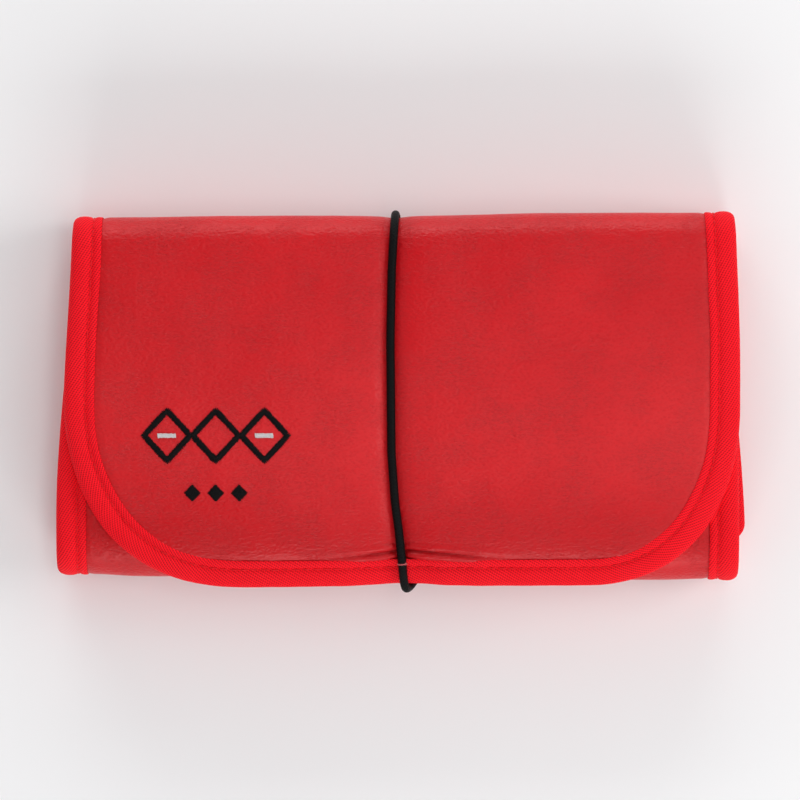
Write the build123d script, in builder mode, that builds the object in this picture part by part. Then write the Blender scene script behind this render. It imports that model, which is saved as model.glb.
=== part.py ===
from build123d import *
import os

# Roll-up eyeglasses case in padded leather, closed and lying on its back.
# One padded strip is folded into a back panel, a flap over the front, a front panel
# turned up from the bottom and an inner panel turned down inside it.
# X runs along the folds, Y towards the top fold, Z from the back to the front.
# The origin is the centre of the face that it lies on. Millimetres.

# Overall sizes
WIDTH = 190.0
TOP = 54.0
BOTTOM = -48.6
HEM = -51.0
SKEW = 1.5

# The padded strip: leather outside, foam, lining inside
LEATHER = 1.2
FOAM = 2.4
LINING = 0.4
PANEL = LEATHER + FOAM + LINING

# Fabric pockets on the lining
POCKET_ROOM = 5.0
POCKET_CLOTH = 0.8
POCKET_HALF = 85.0
POCKET_HEM = 8.0
POCKET_FOOT = 1.0
POCKET_TAPE_GAP = 0.5
BACK_MOUTH = 26.0
FRONT_MOUTH = -22.0
INNER_MOUTH = 22.0
GAP = 0.4

# The stack, from the back face up
INNER_LOW = PANEL + POCKET_ROOM + POCKET_CLOTH + GAP
INNER_HIGH = INNER_LOW + PANEL
FRONT_LOW = INNER_HIGH + POCKET_ROOM + POCKET_CLOTH + GAP + POCKET_CLOTH + POCKET_ROOM
FRONT_HIGH = FRONT_LOW + PANEL
FLAP_LOW = FRONT_HIGH + GAP
THICKNESS = FLAP_LOW + PANEL

# Folds
FOLD_RADIUS = 10.0
INNER_FOLD_RADIUS = 9.0
INNER_FOLD_TOP = 42.0
LEAD = 1.0
BACK_TOP = TOP - FOLD_RADIUS - LEAD
BACK_BOTTOM = BOTTOM + FOLD_RADIUS + LEAD
FRONT_TOP = INNER_FOLD_TOP - INNER_FOLD_RADIUS - LEAD
INNER_END = -40.0
FLAP_CORNER = 44.0
INNER_CORNER = 10.0

# Binding tape, folded over every cut edge
TAPE_WIDTH = 8.5
TAPE = 0.4
TAPE_EDGE = 0.6

# Round elastic and the channel that it beds into
ELASTIC = 2.4
ELASTIC_X = -1.2
ELASTIC_DEPTH = 1.6
CHANNEL = 3.4
CHANNEL_DEPTH = 2.9
CHANNEL_WALL = 0.5
CORD_CLEARANCE = 0.3
HEM_BEND = 3.0
TACK_Y = -46.0
TACK_LENGTH = 1.4
TACK_FOOT = 2.6
TACK_FIT = 0.05

# Embroidered motif on the flap
MOTIF_X = -51.8
MOTIF_Y = -10.0
LOZENGE_WIDTH = 15.0
LOZENGE_HEIGHT = 16.0
LOZENGE_CUT = 3.9
BAR_LENGTH = 5.0
SMALL_LOZENGE = 4.6
SMALL_PITCH = 6.6
SMALL_Y = -26.0
SATIN = 1.3
THREAD_PROUD = 0.2
THREAD_SUNK = 0.25

os.makedirs("parts", exist_ok=True)


def finish_piece(label, piece):
    """Label a piece, write its STEP file and hand back its solid."""
    piece.part.label = label
    export_step(piece.part, f"parts/{label}.step")
    return piece.part


class Panel:
    """A flat padded panel. Its leather is the low face when it faces down."""

    def __init__(self, name, x, low, high, bottom, faces_down, corner=0.0):
        self.name = name
        self.x = x
        self.low = low
        self.high = high
        self.bottom = bottom
        self.faces_down = faces_down
        self.corner = corner

    def level(self, depth):
        """Height of a plane at a depth below the leather face."""
        return self.bottom + depth if self.faces_down else self.bottom + PANEL - depth

    def slab(self, inset, start, end, mode=Mode.ADD):
        """Slab of the panel between two depths."""
        level = min(self.level(start), self.level(end))
        with BuildSketch(Plane.XY.offset(level)) as face:
            low = self.low + inset if self.corner else self.low
            with Locations((self.x, (low + self.high) / 2)):
                Rectangle(WIDTH - 2 * inset, self.high - low)
            if self.corner:
                fillet(face.vertices().group_by(Axis.Y)[0], self.corner - inset)
        extrude(face.sketch, amount=end - start, mode=mode)

    def trough(self, half, start, end, mode):
        """Straight block along the elastic between two depths."""
        level = min(self.level(start), self.level(end))
        low = self.low + TAPE_EDGE if self.corner and mode == Mode.ADD else self.low
        with BuildSketch(Plane.XY.offset(level)) as strip:
            with Locations((ELASTIC_X, (low + self.high) / 2)):
                Rectangle(2 * half, self.high - low)
        extrude(strip.sketch, amount=end - start, mode=mode)


class Fold:
    """A bend of the padded strip along X, rounded at its two outer corners."""

    def __init__(self, name, x, outer, towards, low, high, radius):
        self.name = name
        self.x = x
        self.outer = outer
        self.towards = towards
        self.low = low
        self.high = high
        self.radius = radius
        self.corner = 0.0

    def solid(self, depth, x_low, x_high, mode=Mode.ADD):
        """Everything inside the bend below a depth, from x_low to x_high."""
        length = self.radius + LEAD - depth
        middle = self.outer - self.towards * (depth + length / 2)
        with BuildSketch(Plane.YZ.offset(x_low)) as section:
            with Locations((middle, (self.low + self.high) / 2)):
                Rectangle(length, self.high - self.low - 2 * depth)
            corners = section.vertices().group_by(Axis.X)
            fillet(corners[-1 if self.towards > 0 else 0], self.radius - depth)
        extrude(section.sketch, amount=x_high - x_low, mode=mode)

    def slab(self, inset, start, end, mode=Mode.ADD):
        """Bent slab of the strip between two depths."""
        low = self.x - WIDTH / 2 + inset
        high = self.x + WIDTH / 2 - inset
        with BuildPart() as bent:
            self.solid(start, low, high)
            self.solid(end, low, high, Mode.SUBTRACT)
        add(bent.part, mode=mode)

    def trough(self, half, start, end, mode):
        """Bent block along the elastic between two depths."""
        with BuildPart() as bent:
            self.solid(start, ELASTIC_X - half, ELASTIC_X + half)
            self.solid(end, ELASTIC_X - half, ELASTIC_X + half, Mode.SUBTRACT)
        add(bent.part, mode=mode)


def elastic_ring(radius):
    """Round cord of the given radius along the closed route of the elastic."""
    low = -TOP + ELASTIC / 2
    high = TOP - ELASTIC_DEPTH
    bottom = ELASTIC_DEPTH
    top = THICKNESS - ELASTIC_DEPTH
    bend = FOLD_RADIUS - ELASTIC_DEPTH
    with BuildPart() as cord:
        with BuildLine(Plane.YZ.offset(ELASTIC_X)) as route:
            FilletPolyline(
                (high, top),
                (high, bottom),
                (low, bottom),
                (low, top),
                radius=[bend, bend, bend, HEM_BEND],
                close=True,
            )
        loop = route.wire()
        with BuildSketch(Plane(origin=loop @ 0, z_dir=loop % 0)):
            Circle(radius)
        sweep(path=loop)
    return cord


def build_binding(label, region, x_side=0, clearance=None):
    """Tape folded over the bound edges of a panel or fold, or over one side only."""
    with BuildPart() as tape:
        region.slab(0.0, 0.0, PANEL)
        region.slab(TAPE_WIDTH, 0.0, PANEL, Mode.SUBTRACT)
        region.slab(TAPE_EDGE, TAPE, PANEL - TAPE, Mode.SUBTRACT)
        if x_side:
            keep = Keep.TOP if x_side > 0 else Keep.BOTTOM
            split(bisect_by=Plane.YZ.offset(region.x), keep=keep)
        if clearance:
            region.trough(CHANNEL / 2, 0.0, CHANNEL_DEPTH, Mode.SUBTRACT)
            add(clearance.part, mode=Mode.SUBTRACT)
    return finish_piece(label, tape)


def build_strip(region, has_channel, threads=(), clearance=None):
    """Leather, foam, lining and binding of one panel or fold."""
    name = region.name
    if region.corner:
        tapes = [build_binding(f"{name}_binding", region, clearance=clearance)]
    else:
        tapes = [
            build_binding(f"{name}_binding_left", region, -1),
            build_binding(f"{name}_binding_right", region, 1),
        ]
    channel_floor = CHANNEL_DEPTH + CHANNEL_WALL
    with BuildPart() as leather:
        region.slab(TAPE_EDGE, 0.0, LEATHER)
        if has_channel:
            region.trough(CHANNEL / 2 + CHANNEL_WALL, 0.0, channel_floor, Mode.ADD)
            region.trough(CHANNEL / 2, 0.0, CHANNEL_DEPTH, Mode.SUBTRACT)
        for cutter in [*tapes, *threads]:
            add(cutter, mode=Mode.SUBTRACT)
        if clearance:
            add(clearance.part, mode=Mode.SUBTRACT)
    with BuildPart() as foam:
        region.slab(TAPE_EDGE, LEATHER, LEATHER + FOAM)
        if has_channel:
            region.trough(CHANNEL / 2 + CHANNEL_WALL, LEATHER, channel_floor, Mode.SUBTRACT)
    with BuildPart() as lining:
        region.slab(TAPE_EDGE, LEATHER + FOAM, PANEL)
        for cutter in tapes:
            add(cutter, mode=Mode.SUBTRACT)
    finish_piece(f"{name}_leather", leather)
    finish_piece(f"{name}_foam", foam)
    finish_piece(f"{name}_lining", lining)


def build_pocket(panel, closed_end, mouth):
    """Fabric pocket on a panel's lining: a tray with one open end, and its mouth hem."""
    direction = 1 if mouth > closed_end else -1
    wall = panel.level(PANEL + POCKET_ROOM)
    lining = panel.level(PANEL)
    cloth_low = wall if panel.faces_down else wall - POCKET_CLOTH
    room_low = min(wall, lining)
    sheet_end = mouth - direction * POCKET_HEM
    length = abs(mouth - closed_end)
    with BuildPart() as tray:
        with BuildSketch(Plane.XY.offset(cloth_low)):
            with Locations((panel.x, (closed_end + sheet_end) / 2)):
                Rectangle(2 * POCKET_HALF, abs(sheet_end - closed_end))
        extrude(amount=POCKET_CLOTH)
        with BuildSketch(Plane.XY.offset(room_low)):
            with Locations((panel.x, (closed_end + mouth) / 2)):
                Rectangle(2 * POCKET_HALF, length)
            with Locations((panel.x, (closed_end + mouth) / 2 + direction * POCKET_CLOTH)):
                Rectangle(2 * (POCKET_HALF - POCKET_CLOTH), length, mode=Mode.SUBTRACT)
        extrude(amount=POCKET_ROOM)
    with BuildPart() as hem:
        with BuildSketch(Plane.XY.offset(cloth_low)):
            with Locations((panel.x, (sheet_end + mouth) / 2)):
                Rectangle(2 * POCKET_HALF, POCKET_HEM)
        extrude(amount=POCKET_CLOTH)
    finish_piece(f"{panel.name}_pocket", tray)
    finish_piece(f"{panel.name}_pocket_hem", hem)


def lozenge(x, y, width, height):
    """Diamond for the sketch that is open."""
    across = width / 2
    up = height / 2
    Polygon((x - across, y), (x, y + up), (x + across, y), (x, y - up), align=None)


def build_motif():
    """Satin-stitched chain of lozenges, with light bars inside the outer two."""
    level = THICKNESS - THREAD_SUNK
    height = THREAD_SUNK + THREAD_PROUD
    with BuildPart() as dark:
        for step in (-1, 0, 1):
            x = MOTIF_X + step * (LOZENGE_WIDTH - SATIN)
            with BuildSketch(Plane.XY.offset(level)):
                lozenge(x, MOTIF_Y, LOZENGE_WIDTH, LOZENGE_HEIGHT)
            extrude(amount=height)
        for step in (-1, 0, 1):
            x = MOTIF_X + step * (LOZENGE_WIDTH - SATIN)
            with BuildSketch(Plane.XY.offset(level)):
                lozenge(x, MOTIF_Y, LOZENGE_WIDTH - LOZENGE_CUT, LOZENGE_HEIGHT - LOZENGE_CUT)
            extrude(amount=height, mode=Mode.SUBTRACT)
        for step in (-1, 0, 1):
            with BuildSketch(Plane.XY.offset(level)):
                lozenge(MOTIF_X + step * SMALL_PITCH, SMALL_Y, SMALL_LOZENGE, SMALL_LOZENGE)
            extrude(amount=height)
    with BuildPart() as light:
        with BuildSketch(Plane.XY.offset(level)):
            for step in (-1, 1):
                with Locations((MOTIF_X + step * (LOZENGE_WIDTH - SATIN), MOTIF_Y)):
                    Rectangle(BAR_LENGTH, SATIN)
        extrude(amount=height)
    return finish_piece("flap_motif_dark", dark), finish_piece("flap_motif_light", light)


# The elastic ring, and the room that it takes where it turns over the flap's hem
elastic_cord = elastic_ring(ELASTIC / 2)
finish_piece("elastic_cord", elastic_cord)
hem_clearance = elastic_ring(ELASTIC / 2 + CORD_CLEARANCE)

# The four panels and the three folds of the strip
back = Panel("back", 0.0, BACK_BOTTOM, BACK_TOP, 0.0, True)
front = Panel("front", -SKEW, BACK_BOTTOM, FRONT_TOP, FRONT_LOW, False)
inner = Panel("inner", SKEW, INNER_END, FRONT_TOP, INNER_LOW, True, INNER_CORNER)
flap = Panel("flap", 0.0, HEM, BACK_TOP, FLAP_LOW, False, FLAP_CORNER)
top_fold = Fold("top_fold", 0.0, TOP, 1, 0.0, THICKNESS, FOLD_RADIUS)
bottom_fold = Fold("bottom_fold", -SKEW / 2, BOTTOM, -1, 0.0, FRONT_HIGH, FOLD_RADIUS)
inner_fold = Fold("inner_fold", 0.0, INNER_FOLD_TOP, 1, INNER_LOW, FRONT_HIGH, INNER_FOLD_RADIUS)

motif = build_motif()
build_strip(back, True)
build_strip(top_fold, True)
build_strip(bottom_fold, True)
build_strip(flap, True, motif, hem_clearance)
build_strip(front, False)
build_strip(inner_fold, False)
build_strip(inner, False)

# Pockets: each mouth looks at a fold, so that nothing slides out of the closed roll
build_pocket(back, BACK_BOTTOM + POCKET_FOOT, BACK_MOUTH)
build_pocket(front, FRONT_TOP - POCKET_FOOT, FRONT_MOUTH)
build_pocket(inner, INNER_END + TAPE_WIDTH + POCKET_TAPE_GAP, INNER_MOUTH)

# Thread tack that arches over the elastic and holds it to the flap's hem
with BuildPart() as elastic_tack:
    with BuildSketch(Plane.XZ.offset(-TACK_Y - TACK_LENGTH / 2)):
        with Locations((ELASTIC_X, THICKNESS - ELASTIC_DEPTH)):
            Circle(CHANNEL / 2)
            Circle(ELASTIC / 2 + TACK_FIT, mode=Mode.SUBTRACT)
        with Locations((ELASTIC_X, THICKNESS)):
            Rectangle(CHANNEL, 2 * TACK_FOOT, mode=Mode.INTERSECT)
    extrude(amount=TACK_LENGTH)
finish_piece("elastic_tack", elastic_tack)
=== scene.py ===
import math

import bpy
import numpy as np
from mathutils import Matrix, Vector


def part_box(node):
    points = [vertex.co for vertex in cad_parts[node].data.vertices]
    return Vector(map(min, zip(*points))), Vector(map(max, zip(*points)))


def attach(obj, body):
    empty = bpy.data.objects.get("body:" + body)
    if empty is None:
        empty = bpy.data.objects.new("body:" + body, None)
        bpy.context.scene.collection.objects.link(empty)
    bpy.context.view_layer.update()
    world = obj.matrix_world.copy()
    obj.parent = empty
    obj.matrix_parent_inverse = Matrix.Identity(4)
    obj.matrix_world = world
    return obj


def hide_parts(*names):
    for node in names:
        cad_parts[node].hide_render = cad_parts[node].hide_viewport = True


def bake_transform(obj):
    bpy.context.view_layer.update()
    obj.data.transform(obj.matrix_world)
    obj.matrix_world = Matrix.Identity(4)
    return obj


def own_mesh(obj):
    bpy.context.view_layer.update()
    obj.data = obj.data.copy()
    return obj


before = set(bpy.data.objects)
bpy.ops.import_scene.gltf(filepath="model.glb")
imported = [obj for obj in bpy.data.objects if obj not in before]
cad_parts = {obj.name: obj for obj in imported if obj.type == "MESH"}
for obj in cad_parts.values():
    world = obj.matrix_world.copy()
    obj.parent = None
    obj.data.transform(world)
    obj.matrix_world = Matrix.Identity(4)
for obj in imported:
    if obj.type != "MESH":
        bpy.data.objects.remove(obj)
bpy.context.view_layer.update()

# ---- sizes, in millimetres
# Levels and folds are read from the frame's nodes. Lengths along the strip are called s,
# x runs along the folds, and depth is measured from the leather face towards the lining.
MM = 0.001


def node_box(name):
    """Lowest and highest corner of a CAD node, in millimetres."""
    low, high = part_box(name)
    return np.array(low) / MM, np.array(high) / MM


TOP = node_box("top_fold_leather")[1][1]
THICK = node_box("flap_leather")[1][2]
BOTTOM = node_box("bottom_fold_leather")[0][1]
FRONT = node_box("front_leather")[1][2]
INNER = node_box("inner_leather")[0][2]
INNER_TOP = node_box("inner_fold_leather")[1][1]
INNER_END = node_box("inner_leather")[0][1]
PANEL = node_box("back_lining")[1][2] - node_box("back_leather")[0][2]
HALF = np.ptp(node_box("flap_binding"), axis=0)[0] / 2
FOLD = 10.0  # outer radius of the top and bottom folds
INNER_FOLD = 9.0
TOP_MIDDLE = THICK / 2
BOTTOM_MIDDLE = FRONT / 2
CORD = np.ptp(node_box("elastic_cord"), axis=0)[0]
TAPE = 8.5  # what the folded tape shows on each face
TUCK = 3.0  # how far inside the tape's outer edge the layers end
LEATHER = 1.0
FOAM_LOW = 3.45  # depth of the foam's lower face
LINING = 0.4
SHEAR = 0.015  # how much taller the roll is at its right end


# ---- smooth functions
def smooth(t):
    """Smooth step from 0 to 1."""
    t = np.clip(t, 0, 1)
    return t * t * (3 - 2 * t)


def bump_at(x, centre, width):
    """Rounded bump of height 1."""
    return np.exp(-(((x - centre) / width) ** 2))


def ripple(x, y, size, seed, waves=26):
    """Gentle random relief between about -1 and 1, with features of the given size."""
    draw = np.random.default_rng(seed)
    angle = draw.uniform(0, 2 * math.pi, waves)
    pitch = 2 * math.pi / (size * draw.uniform(0.7, 1.8, waves))
    phase = draw.uniform(0, 2 * math.pi, waves)
    x, y = np.asarray(x, float), np.asarray(y, float)
    total = np.zeros(np.broadcast(x, y).shape)
    for a, k, p in zip(angle, pitch, phase):
        total += np.cos(k * (x * math.cos(a) + y * math.sin(a)) + p)
    return total / math.sqrt(waves)


def distances(line):
    """Distance along a line of points to each of them."""
    return np.concatenate([[0], np.cumsum(np.linalg.norm(np.diff(line, axis=0), axis=1))])


def averaged(values, reach, ends="edge"):
    """Values along a line, smoothed over a few neighbours on each side."""
    soft = np.hanning(2 * reach + 1)
    return np.convolve(np.pad(values, reach, mode=ends), soft / soft.sum(), mode="valid")


# ---- the rolled strip
class Run:
    """One stretch of the strip: its centreline in the YZ plane and its two edges."""

    STEP = 0.05

    def __init__(self, start, heading, pieces, outer, way, s_start, edges, lift):
        headings, angle = [], math.radians(heading)
        for length, turn in pieces:
            count = max(2, round(length / self.STEP))
            headings.append(angle + math.radians(turn) * (np.arange(count) + 0.5) / count)
            angle += math.radians(turn)
        angles = averaged(np.concatenate(headings), 20)
        self.length = len(angles) * self.STEP
        self.s = np.arange(len(angles) + 1) * self.STEP
        steps = self.STEP * np.stack([np.cos(angles), np.sin(angles)], 1)
        self.line = np.array(start) + np.concatenate([[[0, 0]], np.cumsum(steps, 0)])
        self.angle = np.concatenate([[angles[0]], angles])
        self.outer, self.way, self.s_start = outer, way, s_start
        self.edges, self.lift = edges, lift

    def end(self):
        return tuple(self.line[-1])

    def shear(self, s):
        """The roll is a little taller at its right end; the flap's hem isn't."""
        return SHEAR * (1 - 1.6 * smooth((s - 30) / 70) * (self.outer < 0))

    def along(self, s):
        """Position on the whole strip, counted from the middle of the top fold."""
        return self.way * (self.s_start + s)

    def place(self, x, s, depth):
        """Row-frame points, in millimetres, of points given on the flat strip."""
        x, s, depth = np.broadcast_arrays(*(np.asarray(v, float) for v in (x, s, depth)))
        inside = np.clip(s, 0, self.length)
        beyond = s - inside
        angle = np.interp(inside, self.s, self.angle)
        y = np.interp(inside, self.s, self.line[:, 0]) + beyond * np.cos(angle)
        z = np.interp(inside, self.s, self.line[:, 1]) + beyond * np.sin(angle)
        out = self.lift(x, s) - depth
        y = y - self.outer * np.sin(angle) * out
        z = z + self.outer * np.cos(angle) * out
        y = y * (1 + self.shear(s) * x / HALF)
        return np.stack([x, y, z], -1)


def blunt_corner(s, end, left, right, across, along, power):
    """Edges of a strip whose end is rounded by two corners, each (across, along, power)."""
    result = []
    for side, edge in ((0, left), (1, right)):
        t = np.clip((s - (end - along[side])) / along[side], 0, 1)
        drawn = across[side] * (1 - (1 - t ** power[side]) ** (1 / power[side]))
        result.append(edge + drawn * (1 if side == 0 else -1))
    return result


FLAP_TURN = 25.0  # how far the hem bends down, in degrees
FLAP_CURL = 37.0  # radius of that bend
CURL_START = 37.5
FOLD_SINK = 2.4
BOTTOM_SWELL = 1.5
CREST = 71.0
CROWN = 2.4
PRESS = 1.1
PINCH = 0.8
DROOP = 0.9
flap_pieces = [
    (THICK - FOLD - TOP_MIDDLE, 0),
    (FOLD * math.pi / 2, 90),
    (TOP - FOLD + CURL_START, 0),
    (FLAP_CURL * math.radians(FLAP_TURN), FLAP_TURN),
]
FLAP_LENGTH = sum(p[0] for p in flap_pieces)
back_pieces = [
    (TOP_MIDDLE - FOLD, 0),
    (FOLD * math.pi / 2, -90),
    (TOP - FOLD - (BOTTOM + FOLD), 0),
    (FOLD * math.pi / 2, -90),
    (BOTTOM_MIDDLE - FOLD, 0),
]
BACK_LENGTH = sum(p[0] for p in back_pieces)
front_pieces = [
    (FRONT - FOLD - BOTTOM_MIDDLE, 0),
    (FOLD * math.pi / 2, -90),
    (INNER_TOP - INNER_FOLD - (BOTTOM + FOLD), 0),
    (INNER_FOLD * math.pi / 2, -90),
    ((FRONT - INNER) / 2 - INNER_FOLD, 0),
]
FRONT_LENGTH = sum(p[0] for p in front_pieces)
inner_pieces = [
    ((FRONT - INNER) / 2 - INNER_FOLD, 0),
    (INNER_FOLD * math.pi / 2, -90),
    (INNER_TOP - INNER_FOLD - INNER_END, 0),
]
INNER_LENGTH = sum(p[0] for p in inner_pieces)

# Left and right edge of the strip at each of its folds.
AT_TOP = (-92.2, 94.5)
AT_BOTTOM = (-97.1, 95.8)
AT_INNER = (-92.1, 94.2)


def between(first, last, t):
    """Left and right edge part of the way from one fold to the next."""
    return [a + (b - a) * t for a, b in zip(first, last)]


def flap_edges(s):
    left = AT_TOP[0] - 2.9 * smooth((s - 8) / 72)
    right = AT_TOP[1] + 1.4 * smooth((s - 8) / 50)
    return blunt_corner(s, FLAP_LENGTH, left, right, (52, 44), (59, 53), (2.3, 2.2))


def back_edges(s):
    return between(AT_TOP, AT_BOTTOM, smooth(s / BACK_LENGTH))


def front_edges(s):
    return between(AT_BOTTOM, AT_INNER, smooth((s - 26) / (FRONT_LENGTH - 26)))


def inner_edges(s):
    left = AT_INNER[0] - 1.5 * smooth(s / INNER_LENGTH)
    right = AT_INNER[1] + 4.1 * smooth((s - 20) / 70)
    return blunt_corner(s, INNER_LENGTH, left, right, (5, 5), (5, 5), (2, 2))


CORD_S = [0, 14, 30, 50, 82, 96, 104, 112, 122]
CORD_X = [-1.0, -1.4, -2.3, -2.7, -2.4, -1.4, -0.3, 0.5, 1.4]


def cord_x(s):
    """Where the elastic crosses the flap, by the distance from the middle of the top fold."""
    return np.interp(s, CORD_S, CORD_X)


def back_cord_x(s):
    """Where the elastic crosses the back of the closed roll."""
    return -1.0 + 3.4 * smooth((s - 12) / 30) + 2.0 * smooth((s - BACK_LENGTH + 34) / 34)


def fold_sink(x):
    """How far the top fold lies inside the CAD fold: more between the stiff bound edges."""
    return FOLD_SINK + 0.7 * (1 - np.abs(x / HALF) ** 3)


def flap_lift(x, s):
    """How far the flap stands above its centreline: crowned, and held down by the elastic."""
    over = smooth((s - 6) / 26)
    from_crest = s - CREST
    fall = from_crest / np.where(from_crest < 0, 68, 46)
    crown = CROWN * (1 - np.abs(x / 97) ** 2.6) * np.clip(1 - fall**2, 0, 1) * over
    sink = fold_sink(x) * (1 - smooth(s / 22))
    press = PRESS * bump_at(x, cord_x(s), 9) * over
    pinch = PINCH * bump_at(x, cord_x(s), 13) * smooth((s - (FLAP_LENGTH - 26)) / 24)
    wave = 0.3 * ripple(x, s, 70, 3) * over
    droop = DROOP * smooth((np.abs(x) - 60) / 40) * smooth((s - 50) / 60)
    return crown + wave - press - pinch - droop - sink


def back_lift(x, s):
    swell = BOTTOM_SWELL * smooth((s - BACK_LENGTH + 16) / 16)
    return swell - fold_sink(x) * (1 - smooth(s / 18))


def front_lift(x, s):
    puff = bump_at(s, 12, 9)
    return BOTTOM_SWELL * (1 - smooth(s / 24)) + 0.4 * puff * (1 - np.abs(x / 97) ** 4)


def inner_lift(x, s):
    return 0.0 * x


runs = {}
runs["flap"] = Run((TOP, TOP_MIDDLE), 90, flap_pieces, -1, 1, 0, flap_edges, flap_lift)
runs["back"] = Run((TOP, TOP_MIDDLE), -90, back_pieces, 1, -1, 0, back_edges, back_lift)
runs["front"] = Run(
    runs["back"].end(), 90, front_pieces, 1, -1, BACK_LENGTH, front_edges, front_lift
)
runs["inner"] = Run(
    runs["front"].end(), -90, inner_pieces, 1, -1, BACK_LENGTH + FRONT_LENGTH,
    inner_edges, inner_lift,
)
ROUNDED = ("flap", "inner")

# Each stretch follows one body, or is listed with the two bodies across a joint and the joint's start
# and end; such a stretch stays where it lies.
flap_bend = ("top_fold", "flap", (0, TOP, THICK - FOLD), (0, TOP - FOLD, THICK))
back_bend = ("back_panel", "top_fold", (0, TOP - FOLD, 0), (0, TOP, FOLD))
front_bend = ("back_panel", "front_panel", (0, BOTTOM, FRONT - FOLD), (0, BOTTOM + FOLD, FRONT))
follows = {"flap": flap_bend, "back": back_bend, "front": front_bend, "inner": "front_panel"}


def settle(obj, where, slot, *nodes):
    """Fix a finished piece to its body, or bake in place a piece listed with two bodies, and hide the
    CAD nodes that it replaces.
    """
    motion = follows.get(where, where)
    if isinstance(motion, str):
        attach(obj, motion)
    else:
        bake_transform(obj)
    if nodes:
        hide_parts(*nodes)
    return obj


# ---- meshes
def mesh_piece(name, points, faces, uv, material, sharp=()):
    """Mesh object from points in millimetres and one UV pair per point, in millimetres."""
    mesh = bpy.data.meshes.new(name)
    mesh.from_pydata((np.asarray(points) * MM).tolist(), [], faces)
    layer = mesh.uv_layers.new(name="flat")
    corner = np.zeros(len(mesh.loops), np.int32)
    mesh.loops.foreach_get("vertex_index", corner)
    layer.data.foreach_set("uv", (np.asarray(uv) * MM)[corner].astype(np.float32).ravel())
    mesh.polygons.foreach_set("use_smooth", np.ones(len(mesh.polygons), bool))
    if len(sharp):
        wanted = {tuple(sorted(e)) for e in sharp}
        flags = [tuple(sorted(e.vertices)) in wanted for e in mesh.edges]
        attribute = mesh.attributes.new("sharp_edge", "BOOLEAN", "EDGE")
        attribute.data.foreach_set("value", flags)
    mesh.materials.append(material)
    mesh.validate()
    obj = bpy.data.objects.new(name, mesh)
    bpy.context.collection.objects.link(obj)
    return obj


def grid_faces(rows, columns, start=0, flip=False):
    faces = []
    for r in range(rows - 1):
        for c in range(columns - 1):
            a = start + r * columns + c
            quad = (a, a + 1, a + columns + 1, a + columns)
            faces.append(quad[::-1] if flip else quad)
    return faces


def ring_faces(rings, sides, start=0, closed=False):
    """Faces of a tube of rings, capped at both ends unless it closes on itself."""
    faces = []
    for k in range(rings if closed else rings - 1):
        low, high = start + k * sides, start + (k + 1) % rings * sides
        for j in range(sides):
            n = (j + 1) % sides
            faces.append((low + j, low + n, high + n, high + j))
    if not closed:
        last = start + (rings - 1) * sides
        faces.append(tuple(range(start, start + sides))[::-1])
        faces.append(tuple(range(last, last + sides)))
    return faces


def slab(name, run, x, s, upper, lower, material):
    """Closed sheet on a run: x and s are grids on the flat strip, upper and lower depths."""
    rows, columns = x.shape
    top = run.place(x, s, upper).reshape(-1, 3)
    low = run.place(x, s, lower).reshape(-1, 3)
    flip = run.outer > 0
    count = rows * columns
    faces = grid_faces(rows, columns, 0, not flip) + grid_faces(rows, columns, count, flip)
    rim = list(range(columns))
    rim += [r * columns + columns - 1 for r in range(1, rows)]
    rim += [(rows - 1) * columns + c for c in range(columns - 2, -1, -1)]
    rim += [r * columns for r in range(rows - 2, 0, -1)]
    sharp = []
    for a, b in zip(rim, rim[1:] + rim[:1]):
        side = (a, b, b + count, a + count)
        faces.append(side if not flip else side[::-1])
        sharp += [(a, b), (a + count, b + count)]
    flat = np.stack([x, run.along(s)], -1).reshape(-1, 2)
    uv = np.concatenate([flat, flat])
    return mesh_piece(name, np.concatenate([top, low]), faces, uv, material, sharp)


def strip_grid(run, inset, step, end_inset=None):
    """Grid of x and s over a run, drawn in from its edges, with closer rows at a rounded end."""
    last = run.length - (inset if end_inset is None else end_inset)
    rows = int(round(last / step)) + 1
    t = np.linspace(0, 1, rows)
    if end_inset is None:
        t = np.where(t > 0.6, 0.6 + 0.4 * np.sin((t - 0.6) / 0.4 * math.pi / 2), t)
    s = last * t
    left, right = run.edges(s * run.length / last)
    columns = int(round(2 * HALF / step)) + 1
    across = np.linspace(0, 1, columns)[None, :]
    low = np.minimum(left + inset, -1)[:, None]
    high = np.maximum(right - inset, 1)[:, None]
    return low + (high - low) * across, np.repeat(s[:, None], columns, 1)


def outline(run, rounded):
    """Bound edge of a run as points (x, s): one open line, or a left and a right line."""
    if rounded:
        corner = 60 if run.length > 100 else 9
        straight = np.arange(0, run.length - corner, 0.6)
        start = straight[-1]
        phi = np.linspace(0, math.pi / 2, 400)[1:]
        tail = start + (run.length - start) * np.sin(phi) ** 0.8
        s = np.concatenate([straight, tail])
        left, right = run.edges(s)
        hem_x = np.linspace(left[-1], right[-1], 200)[1:-1]
        x = np.concatenate([left, hem_x, right[::-1]])
        s = np.concatenate([s, np.full(len(hem_x), run.length), s[::-1]])
        return [spaced(np.stack([x, s], 1), 0.55)]
    s = np.arange(0, run.length + 0.01, 0.5)
    s[-1] = run.length
    left, right = run.edges(s)
    return [np.stack([left, s], 1), np.stack([right, s], 1)[::-1]]


def spaced(line, step):
    """The line again, with its points evenly spaced."""
    along = distances(line)
    at = np.linspace(0, along[-1], int(round(along[-1] / step)) + 1)
    return np.stack([np.interp(at, along, line[:, k]) for k in range(2)], 1)


def inward(line):
    """Unit normals of a line, to its inner side, which lies on its left."""
    along = np.gradient(line, axis=0)
    along = along / np.linalg.norm(along, axis=1)[:, None]
    return np.stack([along[:, 1], -along[:, 0]], 1)


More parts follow.
